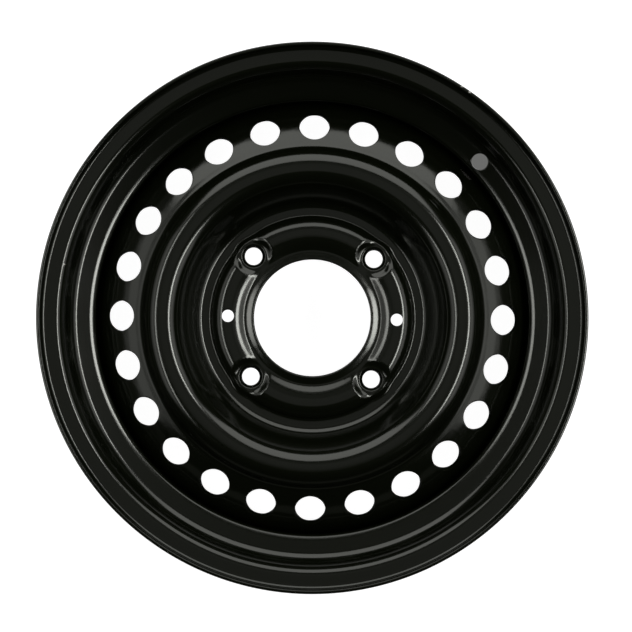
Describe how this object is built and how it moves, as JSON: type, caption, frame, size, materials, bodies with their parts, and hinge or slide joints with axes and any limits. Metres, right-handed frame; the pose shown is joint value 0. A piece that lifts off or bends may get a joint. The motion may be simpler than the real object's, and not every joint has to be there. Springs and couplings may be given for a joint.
{
  "type": "steel wheel rim",
  "caption": "Pressed steel road wheel, bare: a rolled drop-centre rim with a welded dished disc, round vent holes, raised pads and a plain centre bore.",
  "frame": {"origin": "on the axle line, in the plane that the inboard flange's lip rests on", "axes": "+Z along the axle line towards the outboard side, +X through one of the two small holes in the disc's pads"},
  "size_m": [0.4146, 0.4146, 0.1586],
  "materials": {
    "black_enamel": "semi-gloss black dip enamel over bare steel sheet"
  },
  "bodies": {
    "root": {"rim": "black_enamel", "wheel_disc": "black_enamel"}
  },
  "joints": []
}
